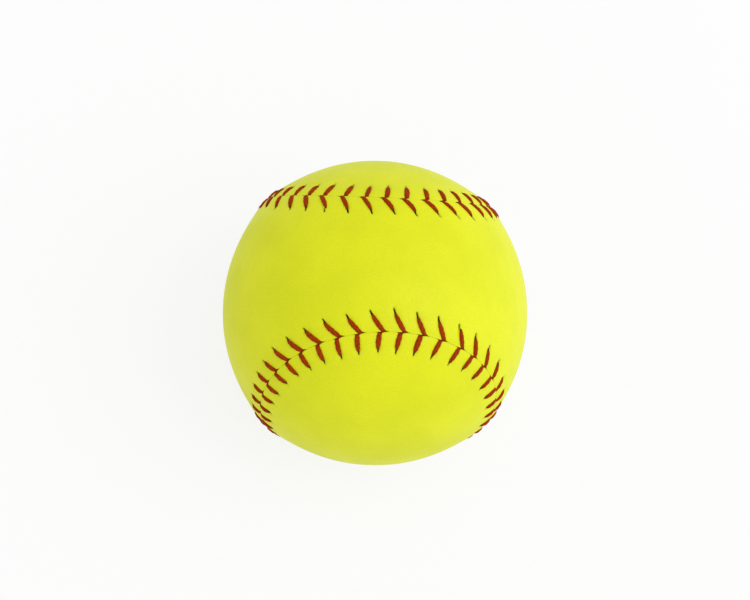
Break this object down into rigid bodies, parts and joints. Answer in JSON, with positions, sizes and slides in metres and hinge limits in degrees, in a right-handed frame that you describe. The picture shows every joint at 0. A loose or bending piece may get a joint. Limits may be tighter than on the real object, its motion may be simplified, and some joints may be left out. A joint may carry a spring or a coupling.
{
  "type": "softball",
  "caption": "Softball with a wound core, a cover of two figure-eight panels and a raised stitched seam.",
  "frame": {"origin": "centre of the ball", "axes": "+Z through the middle of panel A's waist, +X through the middle of one of panel A's lobes, so panel B's waist is at -Z and its lobes are on the Y axis"},
  "size_m": [0.097, 0.097, 0.097],
  "materials": {
    "cork_and_rubber": "moulded cork and rubber, matt",
    "yarn": "wound yarn",
    "latex": "thin dried latex coat, satin",
    "cover": "fluorescent yellow leather-grain cover, satin",
    "waxed_thread": "waxed red thread"
  },
  "bodies": {
    "root": {"core": "cork_and_rubber", "yarn_winding": "yarn", "latex_coat": "latex", "cover_panel_a": "cover", "cover_panel_b": "cover", "seam_thread_a": "waxed_thread", "seam_thread_b": "waxed_thread"}
  },
  "joints": []
}
